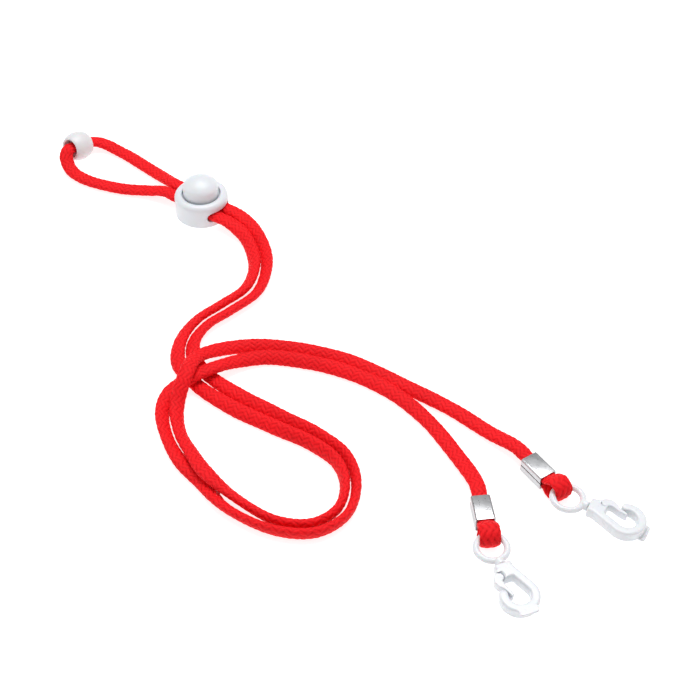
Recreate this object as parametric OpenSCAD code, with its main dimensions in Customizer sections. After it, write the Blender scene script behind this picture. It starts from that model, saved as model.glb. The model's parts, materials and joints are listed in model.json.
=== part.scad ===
// Eyeglass retainer strap: one braided cord doubled through a push-button cord lock,
// with a bead on its loop and a plastic clip crimped on each end. It lies on a table (z = 0).
// The origin is the centre of the lock's foot. Millimetres, +Z up.

/* [Cord] */
// Width of the flattened cord
cord_w = 4.4; // [4.2:0.1:4.5]
// Thickness of the flattened cord
cord_t = 2.6; // [2.2:0.1:2.7]
// Sides of the cord's swept tube
cord_sides = 10; // [8:1:12]

/* [Cord lock] */
// Outer radius of the lock body
lock_r = 8.3; // [8:0.1:9]
// Height of the lock body, up to the flat round the button
lock_h = 7.8; // [7.7:0.1:8.4]
// Radius of the button above the body
button_r = 5.45; // [5:0.05:5.6]
// Top of the button's dome
button_top = 13.2; // [12.6:0.1:13.6]
// Travel of the button when it is pressed
press_travel = 1; // [0.6:0.1:1]
// Direction of the cord hole, from +X
lock_turn = -36; // [-36:1:-36]

/* [Bead] */
// Largest radius of the bead
bead_r = 4.6; // [4.2:0.1:4.6]
// Length of the bead
bead_len = 7; // [6:0.5:7]
// Radius of the bead's bore
bead_bore_r = 2.9; // [2.8:0.05:3]

/* [Crimps] */
// Length of a crimp along the cord
crimp_len = 8.2; // [7:0.1:9]
// Width of a crimp
crimp_w = 5.3; // [5.2:0.1:6]
// Height of a crimp
crimp_h = 4.4; // [4.2:0.1:4.6]
// Thickness of the crimp's sheet metal
crimp_wall = 0.35; // [0.3:0.05:0.4]

/* [Clips] */
// Radius of the eye ring, to the middle of its bar
eye_r = 4.0; // [3.8:0.1:4.2]
// Radius of the eye ring's round bar
eye_bar_r = 0.9; // [0.8:0.05:0.95]
// Thickness of the hook
hook_t = 3.4; // [3:0.1:3.6]
// Outer radius of the hook's round end
hook_end_r = 5.2; // [5:0.1:5.4]
// Inner radius of the hook's round end
hook_seat_r = 2.8; // [2.6:0.1:3]
// Thickness of the gate tongue
gate_t = 2.6; // [2:0.1:3]

/* [Hidden] */

cord_red = "red";
white = "white";
steel = "silver";

// The cord's route: [x, y, z of its middle, roll of its wide side]. The first point of each run
// is in the middle of the lock and the last is at the back of its crimp.
route_a = [
    [-1.4, -1.9, 3.6, 0], [5.3, -6.8, 3.6, 0], [9, -9.5, 3.6, 0], [13.5, -14, 2.6, 30],
    [16.6, -21.5, 1.9, 35], [17.4, -29.5, 1.9, 40], [15, -38, 1.9, 40], [8.5, -44.8, 1.9, 40],
    [1.8, -51.5, 1.9, 40], [-2.2, -60, 1.8, 30], [-2.2, -69, 1.5, 12], [3, -77, 1.3, 0],
    [13, -86, 1.6, 25], [25, -93.8, 1.9, 45], [36, -100.5, 2.1, 60], [42.5, -107, 2.2, 70],
    [44.8, -115, 2.2, 72], [42.8, -123.5, 2.2, 72], [36.5, -128.3, 2.2, 72],
    [27.5, -127.5, 2.2, 70], [16, -119.6, 2.6, 50], [8.3, -112.6, 4.2, 10],
    [4.2, -105, 3, 25], [0.2, -96, 1.9, 40], [-1.3, -87, 2.4, 25], [1, -78, 6.9, 0],
    [3.2, -70.6, 5.3, 0], [10, -64.2, 2.4, 20], [20, -62.4, 1.8, 35], [33, -64.2, 1.8, 35],
    [46, -68.6, 1.8, 30], [60, -77.3, 1.5, 20], [74, -87, 1.4, 12], [84, -96, 1.5, 5],
    [90.6, -102.6, 3, 0], [93.4, -106.8, 3.1, 0]];
route_b = [
    [1.4, 1.9, 3.6, 0], [8.1, -3, 3.6, 0], [12, -6, 3.6, 0], [16.8, -12, 2.6, 30],
    [20.3, -20.5, 1.9, 35], [21.1, -29.5, 1.9, 40], [18.6, -39.8, 1.9, 40],
    [11.4, -47.6, 1.9, 40], [4.9, -53.8, 1.9, 40], [1.6, -60.8, 1.8, 30],
    [2.2, -67.5, 1.5, 12], [6.8, -74, 1.3, 0], [16.2, -82.4, 1.6, 25], [27.5, -90.5, 1.9, 45],
    [38, -97.6, 2.1, 60], [45.2, -105.3, 2.2, 70], [47.8, -114.8, 2.2, 72],
    [45.4, -125.3, 2.2, 72], [37.8, -131.2, 2.2, 72], [27, -130.6, 2.2, 70],
    [13.9, -122.8, 2, 50], [7.2, -113.6, 1.3, 0], [1, -106.2, 1.5, 15],
    [-3.4, -97.2, 1.9, 40], [-5.2, -88, 1.9, 30], [-3.2, -81, 2.4, 10], [3, -76.6, 4.1, 0],
    [8.9, -73, 4, 0], [14.8, -69, 2.3, 15], [22.5, -67, 1.8, 35], [34, -68.8, 1.8, 35],
    [46, -73.2, 1.8, 30], [57.5, -80.4, 1.5, 20], [67, -91, 1.4, 12], [74.5, -104, 1.5, 5],
    [79.2, -115.6, 3, 0], [79.8, -120.6, 3.1, 0]];
route_loop = [
    [-1.4, -1.9, 3.6, 0], [-8.1, 3, 3.6, 0], [-11.8, 5.7, 3.6, 0], [-17.5, 8.2, 2, 0],
    [-25, 9.8, 1.3, 0], [-31.5, 11.7, 1.3, 0], [-36.5, 13.8, 1.3, 0], [-40, 16, 1.4, 0],
    [-42.6, 18.2, 1.8, 0], [-44.2, 20.6, 2.8, 0], [-44.9, 23, 4.5, 0],
    [-44.22, 24.93, 5.47, 0], [-41.9, 27.7, 4.7, 0], [-39.57, 30.47, 3.93, 0],
    [-37.9, 31.9, 3.3, 0], [-35.6, 32.6, 2.6, 0], [-32.8, 32, 1.9, 0], [-29.4, 29.9, 1.4, 0],
    [-25, 26.5, 1.3, 0], [-20.5, 22.3, 1.3, 0], [-14.5, 16.6, 1.5, 0], [-9, 9.5, 3.6, 0],
    [-5.3, 6.8, 3.6, 0], [1.4, 1.9, 3.6, 0]];

// Cord lock
wall_base = 0.4;                       // thickness of the base cap
bore_r = 6.6;                          // bore of the body, which guides the plunger
plunger_r = 6.52;
lip_z = 6.6;                           // underside of the lip round the button
lip_gap = 0.5;                         // gap seen round the button
hole_w = 10.2;
hole_z = [2.1, 5.2];                   // bottom and top of the hole through the body
slot_z = [2.25, 6];                  // bottom and top of the slot through the plunger
plunger_floor = 0.5;
plunger_top = 6.5;
shoulder_r = 1.6;
foot_round = 0.6;
dome_curve_r = 7.5;
spring_wire = 0.3;
spring_turns = 3;
spring_r = [3.6, 2.2];                 // radius at the bottom and at the top
spring_steps = 24;                     // steps in one turn

// Bead
bead_at = [-41.68, 27.96, 4.64];
bead_turn = 50;
bead_tilt = 12;
bead_curve_r = 6.4;

// Crimps and clips: a is the right-hand end and b the left-hand end
strand_turn = [-56, -83];              // the way each end of the cord points
crimp_at = [[93.4, -106.8], [79.8, -120.6]];   // middle of each crimp's back face
clip_turn = [-27, -68];                // the way each clip points
clip_flip = [0, 180];                  // clip b lies the other way up
bar_z = 3.2;                           // height of the eye's bar inside the cord's fold
clip_tilt = 3.5;                       // the hook's end rests on the table
fold_in_r = 1.8;
fold_w = 4;                            // the cord is squeezed where it goes round the bar
crimp_gap = 4.3;                       // from the eye's bar to the front of the crimp
crimp_slit = 0.3;
crimp_round = 0.5;
layer_gap = 0.1;                       // between the two layers of cord in a crimp
fold_knee = [-1.5, 1.35];              // where the upper leg bends down, from the eye's bar

neck_x = 5.75;                         // face of the hook's neck, from the eye's centre
neck_end_x = 10.4;
neck_half = 2.3;
pin_r = 0.8;
pin_len = 1.6;
head_r = 1.25;
head_len = 0.9;
fit = 0.08;                            // clearance of the swivel pin in its socket
end_x = 16;                            // centre of the hook's round end
nose_angle = 112;                      // where the nose stops, round that centre
nose_r = (hook_end_r + hook_seat_r) / 2;
back_from = [7.5, -neck_half];         // where the hook's back leaves the neck
back_reach = norm([end_x, 0] - back_from);
// The back leaves the round end where its straight edge touches the circle
back_angle = 180 + atan2(neck_half, end_x - back_from[0]) + acos(hook_end_r / back_reach);
lap = 0.1;                             // shapes that join run this far into each other
end_lap = 14;                          // the round end runs on this far, in degrees, into the back
tab_len = 1;
tab_half = 2.6;
tab_t = 0.7;
tab_round = 0.8;
gate_at = [9.4, 2.6];                  // pivot of the gate tongue
gate_root_r = 1.3;
gate_clear = 0.12;
// The tongue, after its round root
gate_outline = [[15.3, 1.2], [15.7, 1.5], [15.5, 2], [14.4, 2.3], [13.1, 2.8], [11.8, 3.8], [10.4, 4.3]];
gate_under = [[11.4, 2.2], [13.4, 1.45]];
// The eye's centre is this high, so that its bar is at bar_z and the hook's end is on the table
eye_z = hook_t / 2 * cos(clip_tilt) + (end_x + hook_end_r) * sin(clip_tilt);

// The point that lies this far along the strand from the back of its crimp
function from_crimp(k, far) = crimp_at[k] + far * [cos(strand_turn[k]), sin(strand_turn[k])];
function bar_at(k) = from_crimp(k, crimp_len + crimp_gap);
function eye_at(k) = from_crimp(k, crimp_len + crimp_gap + eye_r);

function unit(v) = v / norm(v);
function along(p, i) = unit(xyz(p[min(i + 1, len(p) - 1)]) - xyz(p[max(i - 1, 0)]));
function xyz(q) = [q[0], q[1], q[2]];
// One ring of the tube: an oval across the route, rolled about it
function ring(p, i) =
    let (dir = along(p, i), side = unit(cross([0, 0, 1], dir)), up = cross(dir, side), roll = p[i][3])
    [for (k = [0 : cord_sides - 1])
        let (a = 360 * (k + 0.5) / cord_sides, w = cord_w / 2 * cos(a), t = cord_t / 2 * sin(a))
        xyz(p[i]) + (w * cos(roll) - t * sin(roll)) * side + (w * sin(roll) + t * cos(roll)) * up];

module tube(rings) {
    n = len(rings);
    m = len(rings[0]);
    polyhedron(
        points = [for (r = rings) each r],
        faces = concat(
            [[for (k = [0 : m - 1]) k]],
            [for (i = [0 : n - 2], k = [0 : m - 1])
                let (j = (k + 1) % m) [i * m + k, (i + 1) * m + k, (i + 1) * m + j, i * m + j]],
            [[for (k = [m - 1 : -1 : 0]) (n - 1) * m + k]]),
        convexity = 10);
}

module cord(p) {
    color(cord_red) tube([for (i = [0 : len(p) - 1]) ring(p, i)]);
}

// The end of the cord, folded round the eye's bar, with both legs in the crimp
module cord_fold(k) {
    low = crimp_wall - bar_z;
    high = crimp_h - crimp_wall - bar_z;
    mid = (low + high) / 2;
    back = -crimp_gap - crimp_len;
    color(cord_red)
    translate([bar_at(k)[0], bar_at(k)[1], bar_z])
    rotate([0, 0, strand_turn[k]])
    rotate([90, 0, 0])
    translate([0, 0, -fold_w / 2])
    linear_extrude(fold_w) {
        difference() {
            circle(bar_z, $fn = 64);
            circle(fold_in_r, $fn = 48);
            translate([-2 * bar_z, -bar_z]) square([2 * bar_z, 2 * bar_z]);
        }
        polygon([[0, fold_in_r], [0, bar_z], [-crimp_gap, high], [back, high],
                 [back, mid + layer_gap / 2], [-crimp_gap, mid + layer_gap / 2], fold_knee]);
        polygon([[0, -fold_in_r], [-crimp_gap, mid - layer_gap / 2], [back, mid - layer_gap / 2],
                 [back, low], [-crimp_gap, low], [0, -bar_z]]);
    }
}

module crimp(k) {
    color(steel)
    translate([crimp_at[k][0], crimp_at[k][1], crimp_h / 2])
    rotate([0, 0, strand_turn[k]])
    rotate([90, 0, 90])
    linear_extrude(crimp_len)
    difference() {
        rounded_box(crimp_w, crimp_h, crimp_round);
        square([crimp_w - 2 * crimp_wall, crimp_h - 2 * crimp_wall], center = true);
        translate([crimp_w / 2, 0]) square([crimp_w / 2, crimp_slit], center = true);
    }
}

module rounded_box(w, h, r) {
    square([w - 2 * r, h], center = true);
    square([w, h - 2 * r], center = true);
    for (x = [-1, 1], y = [-1, 1]) translate([x * (w / 2 - r), y * (h / 2 - r)]) circle(r, $fn = 24);
}

module bead() {
    color(white)
    translate(bead_at)
    rotate([0, 90 + bead_tilt, bead_turn])
    rotate_extrude($fn = 72)
    difference() {
        intersection() {
            translate([0, -bead_len / 2]) square([bead_r, bead_len]);
            translate([bead_r - bead_curve_r, 0]) circle(bead_curve_r, $fn = 96);
        }
        translate([-1, -bead_len]) square([bead_bore_r + 1, 2 * bead_len]);
    }
}

// An oblong hole along the cord, from z low to z high
module cord_hole(w, low, high, length, round_r) {
    rotate([90, 0, 90])
    translate([0, (low + high) / 2, -length / 2])
    linear_extrude(length)
    rounded_box(w, high - low, round_r);
}

module lock_body() {
    color(white)
    difference() {
        rotate_extrude($fn = 120) {
            square([lock_r - foot_round, lock_h - shoulder_r]);
            translate([0, foot_round]) square([lock_r, lock_h - shoulder_r - foot_round]);
            translate([lock_r - foot_round, foot_round]) circle(foot_round, $fn = 32);
            square([lock_r - shoulder_r, lock_h]);
            translate([lock_r - shoulder_r, lock_h - shoulder_r]) circle(shoulder_r, $fn = 64);
        }
        translate([0, 0, -1]) cylinder(r = bore_r, h = lip_z + 1, $fn = 96);
        cylinder(r = button_r + lip_gap, h = lock_h + 1, $fn = 96);
        rotate([0, 0, lock_turn])
        cord_hole(hole_w, hole_z[0], hole_z[1], 3 * lock_r, 1.5);
    }
}

module lock_base() {
    color(white) cylinder(r = bore_r, h = wall_base, $fn = 96);
}

module lock_button() {
    color(white)
    difference() {
        union() {
            translate([0, 0, slot_z[0] - plunger_floor])
            cylinder(r = plunger_r, h = plunger_top - slot_z[0] + plunger_floor, $fn = 96);
            rotate_extrude($fn = 96)
            intersection() {
                translate([0, plunger_top - 0.5]) square([button_r, button_top]);
                translate([0, button_top - dome_curve_r]) circle(dome_curve_r, $fn = 180);
            }
        }
        rotate([0, 0, lock_turn])
        cord_hole(hole_w - 0.2, slot_z[0], slot_z[1], 3 * lock_r, 0.8);
    }
}

module lock_spring() {
    low = wall_base + spring_wire / 2;
    high = slot_z[0] - plunger_floor - spring_wire / 2;
    steps = spring_turns * spring_steps;
    color(steel)
    tube([for (i = [0 : steps])
        let (f = i / steps, a = 360 * spring_turns * f, r = spring_r[0] + (spring_r[1] - spring_r[0]) * f,
             z = low + (high - low) * f)
        [for (k = [0 : 5])
            let (c = r + spring_wire / 2 * cos(60 * k)) [c * cos(a), c * sin(a), z + spring_wire / 2 * sin(60 * k)]]]);
}

// Puts a clip, drawn along +X from its eye's centre, in its place on the table
module clip_place(k) {
    translate([eye_at(k)[0], eye_at(k)[1], eye_z])
    rotate([0, 0, clip_turn[k]])
    rotate([0, clip_tilt, 0])
    rotate([clip_flip[k], 0, 0])
    children();
}

module along_x(x, r, h) {
    translate([x, 0, 0]) rotate([0, 90, 0]) cylinder(r = r, h = h, $fn = 48);
}

module eye(k) {
    color(white)
    clip_place(k) {
        rotate_extrude($fn = 96) translate([eye_r, 0]) circle(eye_bar_r, $fn = 32);
        along_x(eye_r, 1.3, neck_x - 0.15 - eye_r);
        along_x(neck_x - 0.2, pin_r, pin_len + 0.3);
        along_x(neck_x + pin_len, head_r, head_len);
    }
}

module hook(k) {
    color(white)
    clip_place(k)
    difference() {
        union() {
            translate([0, 0, -hook_t / 2]) linear_extrude(hook_t) hook_outline();
            translate([end_x, 0, -hook_t / 2])
            difference() {
                linear_extrude(tab_t) rounded_box(2 * (hook_end_r + tab_len), 2 * tab_half, tab_round);
                translate([-2 * hook_end_r, -hook_end_r, -1]) cube([2 * hook_end_r, 2 * hook_end_r, 3]);
                translate([0, 0, -1]) cylinder(r = nose_r, h = tab_t + 2, $fn = 96);
            }
        }
        along_x(neck_x - 1, pin_r + fit, pin_len + 1.5);
        along_x(neck_x + pin_len - fit, head_r + fit, head_len + 2 * fit);
    }
}

module hook_outline() {
    difference() {
        union() {
            translate([neck_x, -neck_half]) square([neck_end_x - neck_x, 2 * neck_half]);
            translate([end_x, 0]) difference() {
                circle(hook_end_r, $fn = 120);
                polygon([[0, 0], for (f = [0 : 0.25 : 1])
                    let (a = nose_angle + f * (back_angle - end_lap - nose_angle))
                    3 * hook_end_r * [cos(a), sin(a)]]);
            }
            translate([end_x, 0])
            rotate(nose_angle) translate([nose_r, 0]) circle(hook_end_r - nose_r - lap / 2, $fn = 32);
            polygon([back_from, [end_x, 0] + (hook_end_r - lap) * [cos(back_angle), sin(back_angle)],
                     [end_x, 0] + (hook_seat_r - lap) * [cos(back_angle), sin(back_angle)],
                     [neck_end_x, -0.9], [neck_end_x, 0]]);
        }
        translate([end_x, 0]) circle(hook_seat_r, $fn = 96);
        translate(gate_at) circle(gate_root_r + gate_clear, $fn = 48);
    }
}

module gate(k) {
    color(white)
    clip_place(k)
    translate([0, 0, -gate_t / 2])
    linear_extrude(gate_t)
    polygon(concat([for (a = [110 : 10 : 340]) gate_at + gate_root_r * [cos(a), sin(a)]],
                   gate_under, gate_outline));
}

cord(route_loop);  // cord_loop
cord(route_a);  // cord_run_a
cord(route_b);  // cord_run_b
cord_fold(0);  // cord_fold_a
cord_fold(1);  // cord_fold_b
bead();
lock_body();
lock_base();
lock_button();
lock_spring();
crimp(0);  // crimp_a
crimp(1);  // crimp_b
eye(0);  // eye_a
eye(1);  // eye_b
hook(0);  // hook_a
hook(1);  // hook_b
gate(0);  // gate_a
gate(1);  // gate_b
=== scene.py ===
"""Eyeglass retainer strap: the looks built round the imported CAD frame.

A red braided cord is doubled through a push-button cord lock, with a bead on its loop and a
plastic swivel clip crimped on each end. Lengths in this script are in millimetres and become
metres where a mesh is made.
"""

import json
import math

import bpy
import numpy as np
from mathutils import Matrix, Vector


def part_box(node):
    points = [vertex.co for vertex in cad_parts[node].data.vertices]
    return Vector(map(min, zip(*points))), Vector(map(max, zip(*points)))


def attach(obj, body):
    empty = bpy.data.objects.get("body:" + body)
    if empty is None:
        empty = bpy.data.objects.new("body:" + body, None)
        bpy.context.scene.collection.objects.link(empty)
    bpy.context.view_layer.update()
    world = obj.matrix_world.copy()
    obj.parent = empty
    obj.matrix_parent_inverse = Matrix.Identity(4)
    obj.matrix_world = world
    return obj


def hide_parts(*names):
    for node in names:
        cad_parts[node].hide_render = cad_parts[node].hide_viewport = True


MM = 0.001
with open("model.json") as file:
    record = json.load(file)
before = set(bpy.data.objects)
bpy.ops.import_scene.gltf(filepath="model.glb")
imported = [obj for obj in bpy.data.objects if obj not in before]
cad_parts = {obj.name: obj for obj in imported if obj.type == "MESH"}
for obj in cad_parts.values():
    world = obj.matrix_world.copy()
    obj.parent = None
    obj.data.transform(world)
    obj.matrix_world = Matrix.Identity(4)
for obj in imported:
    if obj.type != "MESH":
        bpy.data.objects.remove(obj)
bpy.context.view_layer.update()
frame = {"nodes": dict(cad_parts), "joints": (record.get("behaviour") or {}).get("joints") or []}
JOINTS = {j["name"]: j for j in frame["joints"]}

# ---------------------------------------------------------------- sizes shared with the CAD
CORD_W = 4.4  # width of the flattened cord
CORD_T = 2.6  # thickness of the flattened cord

LOCK_R = 8.3
LOCK_H = 7.8
SHOULDER_R = 1.6
FOOT_ROUND = 0.6
BORE_R = 6.6
LIP_Z = 6.6  # underside of the lip that keeps the button in
LIP_GAP = 0.5  # between the button and the lip
BUTTON_R = 5.45
BUTTON_TOP = 13.2
DOME_CURVE_R = 7.5
PLUNGER_R = 6.52
PLUNGER_Z = (1.75, 6.5)
HOLE_W = 10.2
HOLE_Z = (2.1, 5.2)
HOLE_ROUND = 1.5
SLOT_W = HOLE_W - 0.2
SLOT_Z = (2.25, 6.0)
SLOT_ROUND = 0.8

BEAD_R = 4.6
BEAD_LEN = 7.0
BEAD_CURVE_R = 6.4
BEAD_BORE_R = 2.9

CRIMP_LEN = 8.2
CRIMP_W = 5.3
CRIMP_H = 4.4
CRIMP_WALL = 0.35
CRIMP_ROUND = 0.6
CRIMP_SLIT = 0.3
CRIMP_TO_BAR = 4.3  # from the crimp's front to the middle of the eye's bar

# The clip's X runs from the middle of its eye to the hook's end, and its Y across the hook
EYE_R = 4.0
EYE_BAR_R = 0.9
BOSS_R = 1.3
NECK_X = 5.75
NECK_END_X = 10.4
NECK_HALF = 2.3
PIN_R = 0.8
PIN_LEN = 1.6
HEAD_R = 1.25
HEAD_LEN = 0.9
PIN_FIT = 0.08
HOOK_T = 3.4
END_X = 16.0  # middle of the hook's round end
HOOK_END_R = 5.2
HOOK_SEAT_R = 2.8
NOSE_ANGLE = 112
BACK_ANGLE = 248.9
TAB_X = 22.2  # far end of the grip tab
TAB_HALF = 2.6
TAB_T = 0.7
TAB_ROUND = 0.8
GATE_T = 2.6
GATE_AT = (9.4, 2.6)
GATE_ROOT_R = 1.3
GATE_CLEAR = 0.12

# ---------------------------------------------------------------- camera
VIEW_ELEVATION = 44.0
VIEW_DISTANCE = 472.2
VIEW_TARGET = (46.13, -62.13, 0.0)
LENS = 85.0


def make_camera():
    data = bpy.data.cameras.new("camera")
    data.lens = LENS
    data.sensor_width = 36.0
    data.clip_start = 0.01
    data.clip_end = 20.0
    camera = bpy.data.objects.new("camera", data)
    tilt = math.radians(VIEW_ELEVATION)
    back = Vector((0, -math.cos(tilt), math.sin(tilt)))
    camera.location = (Vector(VIEW_TARGET) + VIEW_DISTANCE * back) * MM
    camera.rotation_euler = (math.pi / 2 - tilt, 0, 0)
    bpy.context.scene.collection.objects.link(camera)
    bpy.context.scene.camera = camera


make_camera()


# ---------------------------------------------------------------- materials
class Nodes:
    """A material's node tree, with short calls for the nodes used here."""

    def __init__(self, name):
        self.material = bpy.data.materials.new(name)
        self.material.use_nodes = True
        self.tree = self.material.node_tree
        self.shader = self.tree.nodes["Principled BSDF"]
        self.place = self.tree.nodes.new("ShaderNodeTexCoord").outputs["Object"]

    def set(self, **values):
        for name, value in values.items():
            self.shader.inputs[name.replace("_", " ")].default_value = value

    def link(self, output, target):
        self.tree.links.new(output, target)

    def noise(self, size_mm, detail=3.0, rough=0.55):
        node = self.tree.nodes.new("ShaderNodeTexNoise")
        node.inputs["Scale"].default_value = 1.0 / (size_mm * MM)
        node.inputs["Detail"].default_value = detail
        node.inputs["Roughness"].default_value = rough
        self.link(self.place, node.inputs["Vector"])
        return node.outputs["Fac"]

    def attribute(self, name):
        node = self.tree.nodes.new("ShaderNodeAttribute")
        node.attribute_name = name
        return node.outputs["Fac"]

    def ramp(self, value, *stops):
        """A colour or grey that changes with the value; each stop is (place, colour)."""
        node = self.tree.nodes.new("ShaderNodeValToRGB")
        ends = node.color_ramp.elements
        for i, (place, colour) in enumerate(stops):
            stop = ends[i] if i < 2 else ends.new(place)
            stop.position = place
            stop.color = (*colour, 1) if hasattr(colour, "__len__") else (colour, colour, colour, 1)
        self.link(value, node.inputs["Fac"])
        return node.outputs["Color"]

    def mix(self, a, b, amount=None, share=0.5, how="MIX"):
        node = self.tree.nodes.new("ShaderNodeMix")
        node.data_type = "RGBA"
        node.blend_type = how
        node.inputs["Factor"].default_value = share
        if amount is not None:
            self.link(amount, node.inputs["Factor"])
        self.link(a, node.inputs["A"])
        self.link(b, node.inputs["B"])
        return node.outputs["Result"]

    def bump(self, height, depth_mm, strength=1.0, after=None):
        node = self.tree.nodes.new("ShaderNodeBump")
        node.inputs["Distance"].default_value = depth_mm * MM
        node.inputs["Strength"].default_value = strength
        self.link(height, node.inputs["Height"])
        if after is not None:
            self.link(after, node.inputs["Normal"])
        return node.outputs["Normal"]

    def finish(self, colour=None, roughness=None, normal=None):
        for output, name in ((colour, "Base Color"), (roughness, "Roughness"), (normal, "Normal")):
            if output is not None:
                self.link(output, self.shader.inputs[name])
        return self.material


def braid_material():
    """Red polyester yarn: painted shade between the yarns, fine filaments along them, a soft sheen.
    """
    n = Nodes("braided_cord")
    height = n.attribute("braid_height")
    filaments = n.attribute("braid_filament")
    # Painted shade: the red darkens from each yarn's crown down into the gaps between the yarns
    painted_gap_shade = n.ramp(height, (0.0, (0.16, 0.001, 0.003)), (0.45, (0.72, 0.004, 0.008)),
                  (0.9, (1.0, 0.012, 0.018)))
    patches = n.ramp(n.noise(9.0, 2.0), (0.3, 0.90), (0.7, 1.0))
    fibres = n.ramp(n.noise(0.35, 4.0, 0.7), (0.3, 0.82), (0.7, 1.0))
    # The painted shade between the yarns, times the random patches of tone
    shade_and_patches = n.mix(painted_gap_shade, patches, share=1.0, how="MULTIPLY")
    colour = n.mix(shade_and_patches, fibres, share=0.7, how="MULTIPLY")
    fuzz = n.bump(n.noise(0.22, 4.0, 0.7), 0.05, 0.6)
    normal = n.bump(filaments, 0.03, 0.7, after=fuzz)
    n.set(Sheen_Weight=0.1, Sheen_Roughness=0.4, Sheen_Tint=(1.0, 0.2, 0.2, 1.0),
          Specular_IOR_Level=0.12)
    rough = n.ramp(n.noise(0.6), (0.3, 0.52), (0.7, 0.66))
    return n.finish(colour, rough, normal)


def plastic_material(name, tint, low, high):
    """Moulded white plastic: a faint mottle, an uneven polish and a very fine texture."""
    n = Nodes(name)
    shade = [tuple(c * level for c in tint) for level in (0.985, 1.0)]
    colour = n.ramp(n.noise(5.0, 3.0), (0.35, shade[0]), (0.65, shade[1]))
    rough = n.ramp(n.noise(1.6, 4.0), (0.3, low), (0.7, high))
    normal = n.bump(n.noise(0.3, 3.0), 0.012, 0.35)
    n.set(Subsurface_Weight=0.12, Subsurface_Scale=0.0012, Coat_Weight=0.12, Coat_Roughness=0.2)
    return n.finish(colour, rough, normal)


def metal_material(name, tint, low, high):
    """Plated or drawn metal with slightly duller patches and an uneven polish."""
    n = Nodes(name)
    n.set(Metallic=1.0)
    shade = [tuple(c * level for c in tint) for level in (0.9, 1.0)]
    colour = n.ramp(n.noise(1.5, 2.0), (0.3, shade[0]), (0.7, shade[1]))
    rough = n.ramp(n.noise(1.2, 1.0, 0.5), (0.25, low), (0.75, high))
    return n.finish(colour, rough)


RED = braid_material()
LOCK_WHITE = plastic_material("lock_plastic", (0.71, 0.735, 0.77), 0.30, 0.42)
CLIP_WHITE = plastic_material("clip_plastic", (0.75, 0.77, 0.80), 0.24, 0.36)
BEAD_WHITE = plastic_material("bead_plastic", (0.70, 0.70, 0.715), 0.34, 0.46)
NICKEL = metal_material("nickel_plate", (0.56, 0.565, 0.58), 0.26, 0.34)
STEEL = metal_material("spring_steel", (0.55, 0.55, 0.57), 0.25, 0.4)


# ---------------------------------------------------------------- mesh helpers
def make_piece(name, points, faces, material, body, place=None, sharp_deg=None):
    """A mesh piece from points in millimetres, put in its place, that rides on its body."""
    mesh = bpy.data.meshes.new(name)
    mesh.from_pydata([Vector(p) * MM for p in points], [], faces)
    if place is not None:
        mesh.transform(place)
    mesh.validate()
    mesh.materials.append(material)
    mesh.shade_smooth()
    if sharp_deg is not None:
        mesh.set_sharp_from_angle(angle=math.radians(sharp_deg))
    piece = bpy.data.objects.new(name, mesh)
    bpy.context.scene.collection.objects.link(piece)
    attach(piece, body)
    return piece


def bake_modifiers(piece):
    """Replaces the piece's mesh with what its modifiers make of it."""
    bpy.context.view_layer.update()
    graph = bpy.context.evaluated_depsgraph_get()
    made = bpy.data.meshes.new_from_object(piece.evaluated_get(graph))
    piece.modifiers.clear()
    piece.data = made


def cut(piece, *cutters):
    """Takes closed shapes, each (points, faces, place), out of the piece."""
    for points, faces, place in cutters:
        mesh = bpy.data.meshes.new("cutter")
        mesh.from_pydata([Vector(p) * MM for p in points], [], faces)
        if place is not None:
            mesh.transform(place)
        cutter = bpy.data.objects.new("cutter", mesh)
        bpy.context.scene.collection.objects.link(cutter)
        step = piece.modifiers.new("cut", "BOOLEAN")
        step.operation = "DIFFERENCE"
        step.solver = "EXACT"
        step.object = cutter
        bake_modifiers(piece)
        bpy.data.objects.remove(cutter)


def melt(piece, voxel_mm, rounds):
    """Joins the piece's overlapping shells into one skin and rounds its edges a little."""
    skin = piece.modifiers.new("skin", "REMESH")
    skin.mode = "VOXEL"
    skin.voxel_size = voxel_mm * MM
    skin.use_smooth_shade = True
    soft = piece.modifiers.new("soft", "SMOOTH")
    soft.factor = 0.5
    soft.iterations = rounds
    bake_modifiers(piece)
    piece.data.shade_smooth()


def arc(centre, radius, start, stop, steps):
    """Points on an arc, both ends included; angles are in degrees."""
    angles = (math.radians(start + (stop - start) * i / steps) for i in range(steps + 1))
    return [(centre[0] + radius * math.cos(a), centre[1] + radius * math.sin(a)) for a in angles]


AXIS_R = 0.001  # a turned profile starts and ends this far from its axis


def lathe(profile, segments):
    """Points and faces of a closed profile of (radius, height) turned about Z."""
    n = len(profile)
    points, faces = [], []
    for i in range(segments):
        angle = 2 * math.pi * i / segments
        points += [(r * math.cos(angle), r * math.sin(angle), z) for r, z in profile]
        here, after = i * n, (i + 1) % segments * n
        faces += [(here + k, after + k, after + (k + 1) % n, here + (k + 1) % n) for k in range(n)]
    return points, faces


def soften_corners(outline, steps=4):
    """Rounds the corners of an outline of (x, y) and (x, y, radius) points."""
    made = []
    count = len(outline)
    for i, corner in enumerate(outline):
        here = np.array(corner[:2], float)
        radius = corner[2] if len(corner) > 2 else 0.0
        if radius <= 0:
            made.append(tuple(here))
            continue
        before = np.array(outline[i - 1][:2], float) - here
        after = np.array(outline[(i + 1) % count][:2], float) - here
        far_before, far_after = np.linalg.norm(before), np.linalg.norm(after)
        half = 0.5 * math.acos(np.clip(before @ after / far_before / far_after, -1, 1))
        reach = min(radius / math.tan(half), 0.45 * far_before, 0.45 * far_after)
        a = here + before / far_before * reach
        b = here + after / far_after * reach
        for k in range(steps + 1):
            t = k / steps
            made.append(tuple((1 - t) ** 2 * a + 2 * t * (1 - t) * here + t * t * b))
    return made


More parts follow.
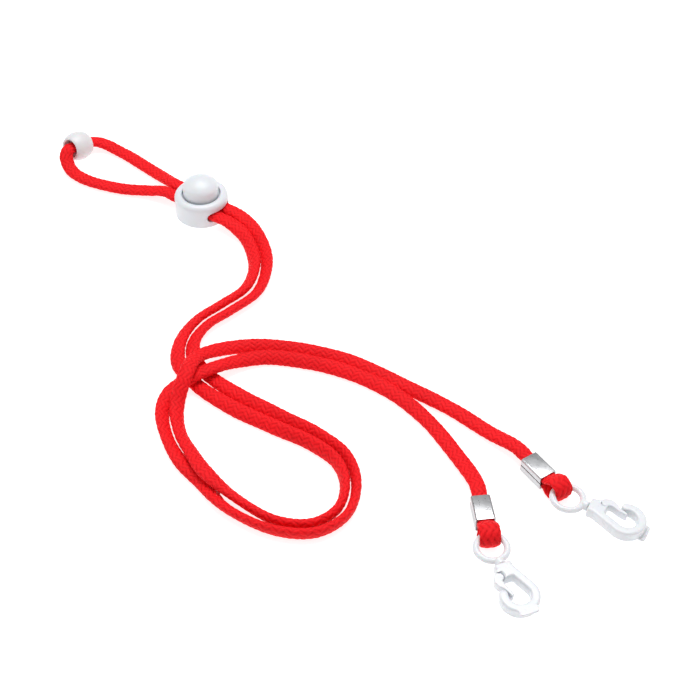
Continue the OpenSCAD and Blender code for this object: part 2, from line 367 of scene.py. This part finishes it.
def inset(outline, amount):
    """The outline moved inwards; it runs anticlockwise."""
    p = np.array(outline, float)
    ahead = np.roll(p, -1, axis=0) - p
    ahead /= np.linalg.norm(ahead, axis=1, keepdims=True)
    inward = np.stack([-ahead[:, 1], ahead[:, 0]], axis=1)
    other = np.roll(inward, 1, axis=0)
    miter = (inward + other) / (1 + (inward * other).sum(axis=1, keepdims=True)).clip(0.35)
    return p + amount * miter


def rounded_prism(outline, low, high, edge, steps=4):
    """Points and faces of an outline drawn up from z low to high, with rounded rims."""
    levels = []
    for k in range(steps + 1):
        a = math.pi / 2 * k / steps
        levels.append((edge * (1 - math.sin(a)), low + edge * (1 - math.cos(a))))
    levels += [(step, low + high - z) for step, z in reversed(levels)]
    count = len(outline)
    points = []
    for step, z in levels:
        points += [(x, y, z) for x, y in inset(outline, step)]
    faces = [tuple(reversed(range(count)))]
    for i in range(len(levels) - 1):
        for k in range(count):
            j = (k + 1) % count
            faces.append((i * count + k, i * count + j, (i + 1) * count + j, (i + 1) * count + k))
    faces.append(tuple((len(levels) - 1) * count + k for k in range(count)))
    return points, faces


def joined(*shapes):
    """One list of points and one of faces from several shapes."""
    points, faces = [], []
    for p, f in shapes:
        faces += [tuple(len(points) + i for i in face) for face in f]
        points += list(p)
    return points, faces


def turned(shape, matrix):
    """The shape with all its points turned by the matrix."""
    return [tuple(matrix @ Vector(p)) for p in shape[0]], shape[1]


def frame_at(origin_mm, x_axis, z_axis):
    """The placing matrix with these axes and origin."""
    x = Vector(x_axis).normalized()
    z = (Vector(z_axis) - Vector(z_axis).dot(x) * x).normalized()
    y = z.cross(x)
    made = Matrix((x, y, z)).transposed().to_4x4()
    made.translation = Vector(origin_mm) * MM
    return made


# ---------------------------------------------------------------- braided cord
YARNS = 8  # yarns that run each way round the braid
BRAID_PITCH = 14.0  # length of one turn of a yarn
RING_POINTS = 48
RING_STEP = 0.26
SPAN_STEPS = 60  # points between two of a route's, before they are spaced evenly
SECTION_POWER = 0.92  # below 1 the cord's section is a little squarer than an ellipse
YARN_RELIEF = 0.34  # depth from the crown of a yarn to the gap beside it
WEAVE_RELIEF = 0.10  # how far a yarn rises over and dips under the others
FILAMENTS = 5  # filaments side by side in a yarn
YARN_POWER = 2.2  # how flat-topped a yarn is


def oval(width, thick, count):
    """Points evenly round a flattened cord's section, its outward normals, and the share round."""
    fine = np.linspace(0, 2 * math.pi, 721)
    x = width / 2 * np.sign(np.cos(fine)) * np.abs(np.cos(fine)) ** SECTION_POWER
    y = thick / 2 * np.sign(np.sin(fine)) * np.abs(np.sin(fine)) ** SECTION_POWER
    far = np.concatenate([[0], np.cumsum(np.hypot(np.diff(x), np.diff(y)))])
    share = np.arange(count) / count
    at = np.interp(share * far[-1], far, fine)
    px, py = np.interp(at, fine, x), np.interp(at, fine, y)
    nx, ny = px / width**2, py / thick**2
    size = np.hypot(nx, ny)
    return px, py, nx / size, ny / size, share


def smooth_route(route):
    """A smooth line through the route's points of [x, y, z, ...], sampled evenly."""
    p = np.array(route, float)
    gaps = np.sqrt(np.linalg.norm(np.diff(p[:, :3], axis=0), axis=1))
    slope = np.diff(p, axis=0) / gaps[:, None]
    tangent = np.vstack([slope[:1], (slope[1:] * gaps[:-1, None] + slope[:-1] * gaps[1:, None])
                         / (gaps[1:] + gaps[:-1])[:, None], slope[-1:]])
    line = []
    for i, gap in enumerate(gaps):
        u = np.linspace(0, 1, SPAN_STEPS, endpoint=i == len(gaps) - 1)[:, None]
        line.append((2 * u**3 - 3 * u**2 + 1) * p[i] + (u**3 - 2 * u**2 + u) * gap * tangent[i]
                    + (3 * u**2 - 2 * u**3) * p[i + 1] + (u**3 - u**2) * gap * tangent[i + 1])
    line = np.vstack(line)
    far = np.concatenate([[0], np.cumsum(np.linalg.norm(np.diff(line[:, :3], axis=0), axis=1))])
    count = max(8, int(round(far[-1] / RING_STEP)))
    at = np.linspace(0, far[-1], count + 1)
    return np.stack([np.interp(at, far, line[:, k]) for k in range(p.shape[1])], axis=1), at


def braid(along, share):
    """Height from 0 to 1 and the place across its yarn, of the braid at each point."""
    a = YARNS * (along / BRAID_PITCH + share)
    b = YARNS * (along / BRAID_PITCH - share)
    crown_a = 1 - np.abs(2 * (a - np.floor(a)) - 1) ** YARN_POWER
    crown_b = 1 - np.abs(2 * (b - np.floor(b)) - 1) ** YARN_POWER
    over_a = np.sin(math.pi / 2 * (b + np.floor(a)))
    over_b = -np.sin(math.pi / 2 * (a + np.floor(b)))
    ratio = WEAVE_RELIEF / YARN_RELIEF * math.sqrt(2)
    height_a, height_b = crown_a + ratio * over_a, crown_b + ratio * over_b
    height = (np.maximum(height_a, height_b) + ratio) / (1 + 2 * ratio)
    across = np.where(height_a > height_b, a - np.floor(a), b - np.floor(b))
    return height, across


def braided_tube(name, route, sizes, phase, upright=False):
    """A braided tube along a route of [x, y, z, roll]. sizes(distances along, length) gives the
    width and thickness at each ring. An upright route turns over in an upright plane, with no
    roll. Returns the piece and its ring centres in metres."""
    line, at = smooth_route(route)
    centres = line[:, :3]
    ahead = np.gradient(centres, axis=0)
    ahead /= np.linalg.norm(ahead, axis=1, keepdims=True)
    if upright:  # the side direction at its start holds all the way
        side = np.tile(np.cross([0.0, 0.0, 1.0], centres[10] - centres[0]), (len(centres), 1))
        roll = np.zeros(len(centres))
    else:
        side = np.cross([0.0, 0.0, 1.0], ahead)
        roll = np.radians(line[:, 3])
    side /= np.linalg.norm(side, axis=1, keepdims=True)
    up = np.cross(ahead, side)
    across = np.cos(roll)[:, None] * side + np.sin(roll)[:, None] * up
    out = np.cos(roll)[:, None] * up - np.sin(roll)[:, None] * side
    widths, thicks = sizes(at, at[-1])
    px, py, nx, ny, share = oval(CORD_W, CORD_T, RING_POINTS)
    height, strand = braid(at[:, None] + phase, share[None, :])
    # The cord is a little fuller in some places than in others
    swell = 1 + 0.018 * np.sin(at / 5.3 + phase) + 0.012 * np.sin(at / 2.1 + 2 * phase)
    drop = -YARN_RELIEF * (1 - height)
    x = px * (widths / CORD_W * swell)[:, None] + nx * drop
    y = py * (thicks / CORD_T)[:, None] + ny * drop
    points = centres[:, None] + x[..., None] * across[:, None] + y[..., None] * out[:, None]
    rings, count = points.shape[:2]
    points = points.reshape(-1, 3)
    i, k = np.meshgrid(np.arange(rings - 1), np.arange(count), indexing="ij")
    j = (k + 1) % count
    here, after = i * count, (i + 1) * count
    faces = np.stack([here + k, here + j, after + j, after + k], axis=-1).reshape(-1, 4).tolist()
    first, last = len(points), len(points) + 1
    points = np.vstack([points, centres[0], centres[-1]])
    faces += [(first, (k + 1) % count, k) for k in range(count)]
    top = (rings - 1) * count
    faces += [(last, top + k, top + (k + 1) % count) for k in range(count)]
    piece = make_piece(name, points.tolist(), faces, RED, "strap")
    fibres = np.cos(2 * math.pi * FILAMENTS * strand)
    for label, values in (("braid_height", height), ("braid_filament", fibres)):
        layer = piece.data.attributes.new(label, "FLOAT", "POINT")
        both_ends = [0.5, 0.5]
        values = np.append(values.ravel(), both_ends).astype(np.float32)
        layer.data.foreach_set("value", values)
    return piece, centres * MM


# The routes of the CAD's cords: [x, y, z, roll of the wide side]
ROUTE_A = [
    [-1.4, -1.9, 3.6, 0], [5.3, -6.8, 3.6, 0], [9, -9.5, 3.6, 0], [13.5, -14, 2.6, 30],
    [16.6, -21.5, 1.9, 35], [17.4, -29.5, 1.9, 40], [15, -38, 1.9, 40], [8.5, -44.8, 1.9, 40],
    [1.8, -51.5, 1.9, 40], [-2.2, -60, 1.8, 30], [-2.2, -69, 1.5, 12], [3, -77, 1.3, 0],
    [13, -86, 1.6, 25], [25, -93.8, 1.9, 45], [36, -100.5, 2.1, 60], [42.5, -107, 2.2, 70],
    [44.8, -115, 2.2, 72], [42.8, -123.5, 2.2, 72], [36.5, -128.3, 2.2, 72],
    [27.5, -127.5, 2.2, 70], [16, -119.6, 2.6, 50], [8.3, -112.6, 4.2, 10],
    [4.2, -105, 3, 25], [0.2, -96, 1.9, 40], [-1.3, -87, 2.4, 25], [1, -78, 6.9, 0],
    [3.2, -70.6, 5.3, 0], [10, -64.2, 2.4, 20], [20, -62.4, 1.8, 35], [33, -64.2, 1.8, 35],
    [46, -68.6, 1.8, 30], [60, -77.3, 1.5, 20], [74, -87, 1.4, 12], [84, -96, 1.5, 5],
    [90.6, -102.6, 3, 0], [93.4, -106.8, 3.1, 0]]
ROUTE_B = [
    [1.4, 1.9, 3.6, 0], [8.1, -3, 3.6, 0], [12, -6, 3.6, 0], [16.8, -12, 2.6, 30],
    [20.3, -20.5, 1.9, 35], [21.1, -29.5, 1.9, 40], [18.6, -39.8, 1.9, 40],
    [11.4, -47.6, 1.9, 40], [4.9, -53.8, 1.9, 40], [1.6, -60.8, 1.8, 30],
    [2.2, -67.5, 1.5, 12], [6.8, -74, 1.3, 0], [16.2, -82.4, 1.6, 25], [27.5, -90.5, 1.9, 45],
    [38, -97.6, 2.1, 60], [45.2, -105.3, 2.2, 70], [47.8, -114.8, 2.2, 72],
    [45.4, -125.3, 2.2, 72], [37.8, -131.2, 2.2, 72], [27, -130.6, 2.2, 70],
    [13.9, -122.8, 2, 50], [7.2, -113.6, 1.3, 0], [1, -106.2, 1.5, 15],
    [-3.4, -97.2, 1.9, 40], [-5.2, -88, 1.9, 30], [-3.2, -81, 2.4, 10], [3, -76.6, 4.1, 0],
    [8.9, -73, 4, 0], [14.8, -69, 2.3, 15], [22.5, -67, 1.8, 35], [34, -68.8, 1.8, 35],
    [46, -73.2, 1.8, 30], [57.5, -80.4, 1.5, 20], [67, -91, 1.4, 12], [74.5, -104, 1.5, 5],
    [79.2, -115.6, 3, 0], [79.8, -120.6, 3.1, 0]]
ROUTE_LOOP = [
    [-1.4, -1.9, 3.6, 0], [-8.1, 3, 3.6, 0], [-11.8, 5.7, 3.6, 0], [-17.5, 8.2, 2, 0],
    [-25, 9.8, 1.3, 0], [-31.5, 11.7, 1.3, 0], [-36.5, 13.8, 1.3, 0], [-40, 16, 1.4, 0],
    [-42.6, 18.2, 1.8, 0], [-44.2, 20.6, 2.8, 0], [-44.9, 23, 4.5, 0],
    [-44.22, 24.93, 5.47, 0], [-41.9, 27.7, 4.7, 0], [-39.57, 30.47, 3.93, 0],
    [-37.9, 31.9, 3.3, 0], [-35.6, 32.6, 2.6, 0], [-32.8, 32, 1.9, 0], [-29.4, 29.9, 1.4, 0],
    [-25, 26.5, 1.3, 0], [-20.5, 22.3, 1.3, 0], [-14.5, 16.6, 1.5, 0], [-9, 9.5, 3.6, 0],
    [-5.3, 6.8, 3.6, 0], [1.4, 1.9, 3.6, 0]]

CRIMPED_T = 1.75  # thickness of the cord where the crimp squeezes it
CRIMPED_W = 4.25
LEG = 0.95  # height of each leg's middle from the middle of the crimp
SQUEEZE = 3.0  # length over which the cord narrows into the crimp
TUCK = 1.0  # how far the run goes on into the crimp
FOLD_GAP = 0.1  # between the run's end and the fold's upper leg
FOLD_W, FOLD_T = 4.3, 1.6  # the fold's legs inside the crimp
SPREAD_W, SPREAD_T = 1.3, 0.35  # how much wider and thicker the fold is outside it


def strand_place(end):
    """The frame at the back of a crimp, X along the strand, from the eye's hinge."""
    hinge = JOINTS[f"eye_swing_{end}"]
    ax, ay, _ = hinge["axis"]
    ahead = Vector((-ay, ax, 0))
    bar = Vector(hinge["pos_m"]) / MM
    back = bar - (CRIMP_LEN + CRIMP_TO_BAR) * ahead
    return frame_at((back.x, back.y, 0), ahead, (0, 0, 1)), ahead


def make_run(end, route, phase):
    """The cord from the middle of the lock into its crimp."""
    _, ahead = strand_place(end)
    tucked = Vector((route[-1][0], route[-1][1], CRIMP_H / 2 + LEG)) + TUCK * ahead
    whole = route + [[tucked.x, tucked.y, tucked.z, 0]]

    def sizes(at, length):
        near = np.clip(1 - (length - at) / (SQUEEZE + TUCK), 0, 1)
        near = near * near * (3 - 2 * near)
        return CORD_W + (CRIMPED_W - CORD_W) * near, CORD_T + (CRIMPED_T - CORD_T) * near

    piece, path = braided_tube(f"braid_run_{end}", whole, sizes, phase)
    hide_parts(f"cord_run_{end}")
    return piece, path


def make_fold(end, phase):
    """The end of the cord: out of the crimp, round the eye's bar and back under itself."""
    place, _ = strand_place(end)
    bar_x = CRIMP_LEN + CRIMP_TO_BAR
    bar_z = JOINTS[f"eye_swing_{end}"]["pos_m"][2] / MM
    middle = CRIMP_H / 2
    back = TUCK + FOLD_GAP
    side = [(back, middle + LEG), (4.2, middle + LEG), (7.4, middle + LEG), (8.9, middle + 1.35),
            (10.4, middle + 2.5), (bar_x - 0.3, bar_z + 2.5), (bar_x + 1.55, bar_z + 1.85),
            (bar_x + 2.4, bar_z), (bar_x + 1.6, bar_z - 1.75), (bar_x, bar_z - 2.4),
            (10.6, middle - 1.35), (9.0, middle - 1.1), (7.4, middle - LEG), (4.2, middle - LEG),
            (back, middle - LEG)]
    route = [[*(place @ Vector((x * MM, 0, z * MM)) / MM), 0] for x, z in side]

    def sizes(at, length):
        share = at / length
        # The legs spread out where they leave the crimp
        spread = np.clip((share - 0.2) / 0.1, 0, 1) * np.clip((0.78 - share) / 0.1, 0, 1)
        spread = spread * spread * (3 - 2 * spread)
        return FOLD_W + SPREAD_W * spread, FOLD_T + SPREAD_T * spread

    piece, _ = braided_tube(f"braid_fold_{end}", route, sizes, phase, upright=True)
    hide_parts(f"cord_fold_{end}")
    return piece


def loop_size(at, length):
    """The cord is rounder where it runs through the bead."""
    bead = Vector([(a + b) / 2 for a, b in zip(*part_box("bead"))]) / MM
    line, _ = smooth_route(ROUTE_LOOP)
    near = np.exp(-(np.linalg.norm(line[:, :3] - np.array(bead), axis=1) / 6.0) ** 4)
    return CORD_W - 0.1 * near, CORD_T + 0.3 * near


for end, route, phase in (("a", ROUTE_A, 0.0), ("b", ROUTE_B, 5.1)):
    run, run_path = make_run(end, route, phase)
    make_fold(end, phase + 2.0)
loop, loop_path = braided_tube("braid_loop", ROUTE_LOOP, loop_size, 3.3)
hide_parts("cord_loop")


# ---------------------------------------------------------------- cord lock
def hole_shape(width, low, high, length, corner):
    """An oblong hole through the lock, along the cord, between two heights."""
    half, tall = width / 2, (high - low) / 2
    outline = []
    for cx, cy, start in ((half - corner, tall - corner, 0), (corner - half, tall - corner, 90),
                          (corner - half, corner - tall, 180), (half - corner, corner - tall, 270)):
        outline += arc((cx, cy), corner, start, start + 90, 8)
    points, faces = rounded_prism(outline, -length / 2, length / 2, 0.01, 1)
    along, up = Vector(JOINTS["lock_slide"]["axis"]), Vector((0, 0, 1))
    # The outline's Y is up and its Z runs along the cord
    place = Matrix((up.cross(along), up, along)).transposed().to_4x4()
    place.translation = Vector((0, 0, (low + high) / 2)) * MM
    return points, faces, place


def make_lock_body():
    """The low round shell, turned in one profile, with the cords' hole cut through it."""
    inner = BUTTON_R + LIP_GAP
    lip_edge = 0.25
    profile = [(BORE_R, 0.0), (LOCK_R - FOOT_ROUND, 0.0)]
    profile += arc((LOCK_R - FOOT_ROUND, FOOT_ROUND), FOOT_ROUND, -80, 0, 8)
    profile += [(LOCK_R, 2.0), (LOCK_R, 4.0), (LOCK_R, 6.0)]
    profile += arc((LOCK_R - SHOULDER_R, LOCK_H - SHOULDER_R), SHOULDER_R, 0, 90, 12)
    profile += arc((inner + lip_edge, LOCK_H - lip_edge), lip_edge, 90, 180, 4)
    profile += [(inner, LIP_Z), (BORE_R, LIP_Z)]
    points, faces = lathe(profile, 192)
    body = make_piece("lock_shell", points, faces, LOCK_WHITE, "lock")
    cut(body, hole_shape(HOLE_W, *HOLE_Z, 3 * LOCK_R, HOLE_ROUND))
    melt(body, 0.115, 5)
    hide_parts("lock_body")


def make_lock_button():
    """The dome and its plunger in one, with the slot that grips the cords."""
    dome_z = BUTTON_TOP - DOME_CURVE_R
    rim_angle = math.degrees(math.acos(BUTTON_R / DOME_CURVE_R))
    rim_z = dome_z + DOME_CURVE_R * math.sin(math.radians(rim_angle))
    rim_round = 0.45
    low, high = PLUNGER_Z
    profile = [(AXIS_R, low), (PLUNGER_R - 0.2, low), (PLUNGER_R, low + 0.2),
               (PLUNGER_R, high - 0.1), (PLUNGER_R - 0.1, high), (BUTTON_R, high)]
    profile += [(BUTTON_R, high + 1.0), (BUTTON_R, rim_z - rim_round)]
    profile += arc((BUTTON_R - rim_round, rim_z - rim_round), rim_round, 10, rim_angle - 6, 5)
    profile += arc((0, dome_z), DOME_CURVE_R, rim_angle + 3.2, 90, 24)
    profile[-1] = (AXIS_R, BUTTON_TOP)
    points, faces = lathe(profile, 128)
    button = make_piece("lock_push_button", points, faces, LOCK_WHITE, "button")
    cut(button, hole_shape(SLOT_W, *SLOT_Z, 3 * LOCK_R, SLOT_ROUND))
    button.data.shade_smooth()
    button.data.set_sharp_from_angle(angle=math.radians(40))
    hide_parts("lock_button")


make_lock_body()
make_lock_button()


# ---------------------------------------------------------------- bead
def make_bead():
    """A barrel with a rolled rim round its bore at each end."""
    half = BEAD_LEN / 2
    rim = 0.35
    reach = math.degrees(math.asin((half - 0.25) / BEAD_CURVE_R))
    profile = arc((BEAD_R - BEAD_CURVE_R, 0), BEAD_CURVE_R, -reach, reach, 36)
    profile += arc((BEAD_BORE_R + rim, half - rim), rim, 80, 180, 6)
    profile += [(BEAD_BORE_R, 2.0), (BEAD_BORE_R, 0.0), (BEAD_BORE_R, -2.0)]
    profile += arc((BEAD_BORE_R + rim, rim - half), rim, 180, 280, 6)
    points, faces = lathe(profile, 96)
    centre = Vector([(a + b) / 2 for a, b in zip(*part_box("bead"))]) / MM
    axis = Vector(JOINTS["bead_slide"]["axis"])
    place = frame_at(centre, (-axis.y, axis.x, 0), axis)
    bead = make_piece("loop_bead", points, faces, BEAD_WHITE, "bead", place, 50)
    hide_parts("bead")


make_bead()


# ---------------------------------------------------------------- crimps
def make_crimp(end):
    """A strip of plated sheet bent round the cord, whose two edges meet along one side."""
    half_w, half_h, gap = CRIMP_W / 2, CRIMP_H / 2, CRIMP_SLIT / 2
    outer, inner = [], []
    corners = ((1, 1, 0), (-1, 1, 90), (-1, -1, 180), (1, -1, 270))
    for sx, sy, start in corners:
        centre = (sx * (half_w - CRIMP_ROUND), sy * (half_h - CRIMP_ROUND))
        outer += arc(centre, CRIMP_ROUND, start, start + 90, 6)
        inner += arc(centre, CRIMP_ROUND - CRIMP_WALL, start, start + 90, 6)
    # The sheet's edges turn in a little where they meet
    turn_in = 0.12
    outline = [(half_w - turn_in, gap, 0.1), (half_w, gap + 0.55)] + outer
    outline += [(half_w, -gap - 0.55), (half_w - turn_in, -gap, 0.1)]
    outline += [(half_w - CRIMP_WALL - turn_in, -gap, 0.1), (half_w - CRIMP_WALL, -gap - 0.55)]
    outline += inner[::-1]
    outline += [(half_w - CRIMP_WALL, gap + 0.55), (half_w - CRIMP_WALL - turn_in, gap, 0.1)]
    points, faces = rounded_prism(soften_corners(outline), 0.0, CRIMP_LEN, 0.1, 3)
    place, _ = strand_place(end)
    # The outline's X is across the strand and its Y is up
    stand = Matrix(((0, 0, 1, 0), (-1, 0, 0, 0), (0, 1, 0, CRIMP_H / 2 * MM), (0, 0, 0, 1)))
    crimp = make_piece(f"crimp_sleeve_{end}", points, faces, NICKEL, "strap",
                       place @ stand, 60)
    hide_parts(f"crimp_{end}")


# ---------------------------------------------------------------- clips
def clip_place(end):
    """The frame at the middle of the eye, X along the clip, from the swivel and the gate."""
    swivel, flex = JOINTS[f"hook_swivel_{end}"], JOINTS[f"gate_flex_{end}"]
    return frame_at(Vector(swivel["pos_m"]) / MM, swivel["axis"], -Vector(flex["axis"]))


def rod_along_x(x, radius, length, edge, segments=48):
    """A rod along X with rounded ends."""
    outline = [(AXIS_R, 0.0), (radius - edge, 0.0)] + arc((radius - edge, edge), edge, -70, 0, 4)
    outline += arc((radius - edge, length - edge), edge, 0, 70, 4)
    outline += [(radius - edge, length), (AXIS_R, length)]
    tip = Matrix(((0, 0, 1), (0, 1, 0), (-1, 0, 0)))
    points, faces = turned(lathe(outline, segments), tip)
    return [(px + x, py, pz) for px, py, pz in points], faces


def make_eye(end):
    """The ring, its boss and the swivel pin with its head, moulded in one."""
    ring = lathe(arc((EYE_R, 0), EYE_BAR_R, 0, 360 - 360 / 28, 27), 120)
    boss = rod_along_x(EYE_R, BOSS_R, NECK_X - 0.15 - EYE_R, 0.15)
    pin = rod_along_x(NECK_X - 0.3, PIN_R, PIN_LEN + 0.5, 0.05)
    head = rod_along_x(NECK_X + PIN_LEN, HEAD_R, HEAD_LEN, 0.15)
    points, faces = joined(ring, boss, pin, head)
    eye = make_piece(f"clip_eye_{end}", points, faces, CLIP_WHITE, f"eye_{end}",
                     clip_place(end))
    melt(eye, 0.085, 4)
    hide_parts(f"eye_{end}")


def hook_outline():
    """The neck, the round end, its nose and its inside, and the socket for the gate's root."""
    centre = (END_X, 0)
    nose = arc(centre, (HOOK_END_R + HOOK_SEAT_R) / 2, NOSE_ANGLE, NOSE_ANGLE, 1)[0]
    socket_r = GATE_ROOT_R + GATE_CLEAR
    gate_x, gate_y = GATE_AT
    # Where the socket meets the front of the neck and its top side
    front_drop = math.sqrt(socket_r**2 - (NECK_END_X - gate_x) ** 2)
    side_reach = math.sqrt(socket_r**2 - (NECK_HALF - gate_y) ** 2)
    right = math.degrees(math.asin((NECK_END_X - gate_x) / socket_r)) - 90
    left = math.degrees(math.asin((NECK_HALF - gate_y) / socket_r)) - 180
    outline = [(NECK_X, -NECK_HALF, 0.5), (7.5, -NECK_HALF, 1.0)]
    outline += arc(centre, HOOK_END_R, BACK_ANGLE - 360, NOSE_ANGLE, 72)
    outline += arc(nose, (HOOK_END_R - HOOK_SEAT_R) / 2, NOSE_ANGLE + 9, NOSE_ANGLE + 171, 14)
    outline += arc(centre, HOOK_SEAT_R, NOSE_ANGLE, BACK_ANGLE - 360, 56)
    outline += [(NECK_END_X, -0.9, 0.5), (NECK_END_X, gate_y - front_drop)]
    outline += arc(GATE_AT, socket_r, right, left, 14)[1:-1]
    outline += [(gate_x - side_reach, NECK_HALF), (NECK_X, NECK_HALF, 0.5)]
    return soften_corners(outline)


def make_hook(end):
    """The hook, with the grip tab moulded on its far end and the swivel's socket in its neck."""
    frame_part = rounded_prism(hook_outline(), -HOOK_T / 2, HOOK_T / 2, 0.65)
    tab_root = END_X + HOOK_SEAT_R + 0.6
    tab_corner = 1.2 * TAB_ROUND  # a softened corner is tighter than an arc of its radius
    tab = [(tab_root, -TAB_HALF, 0.2), (TAB_X, -TAB_HALF, tab_corner),
           (TAB_X, TAB_HALF, tab_corner), (tab_root, TAB_HALF, 0.2)]
    tab_part = rounded_prism(soften_corners(tab), -HOOK_T / 2, -HOOK_T / 2 + TAB_T, 0.2)
    points, faces = joined(frame_part, tab_part)
    place = clip_place(end)
    hook = make_piece(f"clip_hook_{end}", points, faces, CLIP_WHITE, f"hook_{end}", place)
    throat = rod_along_x(NECK_X - 1.0, PIN_R + PIN_FIT, PIN_LEN + 1.3, 0.02)
    pocket = rod_along_x(NECK_X + PIN_LEN - PIN_FIT, HEAD_R + PIN_FIT, HEAD_LEN + 2 * PIN_FIT, 0.1)
    melt(hook, 0.095, 5)
    cut(hook, (*throat, place), (*pocket, place))
    hook.data.shade_smooth()
    hook.data.set_sharp_from_angle(angle=math.radians(50))
    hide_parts(f"hook_{end}")


def make_gate(end):
    """The sprung tongue that closes the hook, with its round root."""
    root = arc(GATE_AT, GATE_ROOT_R, 110, 340, 28)
    under = [(11.4, 2.2, 2.0), (13.4, 1.45, 2.0)]
    tip = [(15.3, 1.2, 0.3), (15.7, 1.5, 0.25), (15.5, 2.0, 0.4), (14.4, 2.3, 1.5),
           (13.1, 2.8, 1.5), (11.8, 3.8, 1.0), (10.4, 4.3, 0.8)]
    outline = soften_corners(root + under + tip)
    points, faces = rounded_prism(outline, -GATE_T / 2, GATE_T / 2, 0.3)
    gate = make_piece(f"clip_gate_{end}", points, faces, CLIP_WHITE, f"gate_{end}",
                      clip_place(end))
    melt(gate, 0.075, 3)
    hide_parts(f"gate_{end}")


for end in ("a", "b"):
    make_crimp(end)
    make_eye(end)
    make_hook(end)
    make_gate(end)

# The base cap and the spring keep their CAD shapes
for node, material in (("lock_base", LOCK_WHITE), ("lock_spring", STEEL)):
    part = frame["nodes"][node]
    part.data.materials.clear()
    part.data.materials.append(material)


# ---------------------------------------------------------------- floor and light
def make_floor():
    """A pale floor that gives off a little light, so that hardly any shadow shows."""
    half, z = 3.0, -0.15 * MM
    mesh = bpy.data.meshes.new("floor")
    mesh.from_pydata([(-half, -half, z), (half, -half, z), (half, half, z), (-half, half, z)],
                     [], [(0, 1, 2, 3)])
    n = Nodes("pale_floor")
    n.set(Specular_IOR_Level=0.1, Emission_Color=(1.0, 1.0, 1.0, 1.0), Emission_Strength=0.8)
    colour = n.ramp(n.noise(60.0, 2.0), (0.3, 0.52), (0.7, 0.56))
    mesh.materials.append(n.finish(colour, n.ramp(n.noise(20.0), (0.3, 0.75), (0.7, 0.85))))
    floor = bpy.data.objects.new("floor", mesh)
    bpy.context.scene.collection.objects.link(floor)


def make_softbox(name, place_mm, aim_mm, size_mm, power):
    data = bpy.data.lights.new(name, "AREA")
    data.shape = "RECTANGLE"
    data.size, data.size_y = (s * MM for s in size_mm)
    data.energy = power
    box = bpy.data.objects.new(name, data)
    box.location = Vector(place_mm) * MM
    box.rotation_euler = (Vector(aim_mm) - Vector(place_mm)).to_track_quat("-Z", "Y").to_euler()
    bpy.context.scene.collection.objects.link(box)


make_floor()
AIM = (46, -62, 0)
make_softbox("top_softbox", (60, 160, 900), AIM, (700, 500), 7.0)
make_softbox("left_softbox", (-800, -100, 500), AIM, (600, 600), 1.0)
make_softbox("right_softbox", (800, -200, 450), AIM, (500, 600), 0.6)
world = bpy.data.worlds.new("studio")
world.use_nodes = True
sky = world.node_tree.nodes["Background"]
sky.inputs["Color"].default_value = (1.0, 1.0, 1.0, 1.0)
sky.inputs["Strength"].default_value = 0.42
bpy.context.scene.world = world
bpy.context.scene.view_settings.view_transform = "Standard"
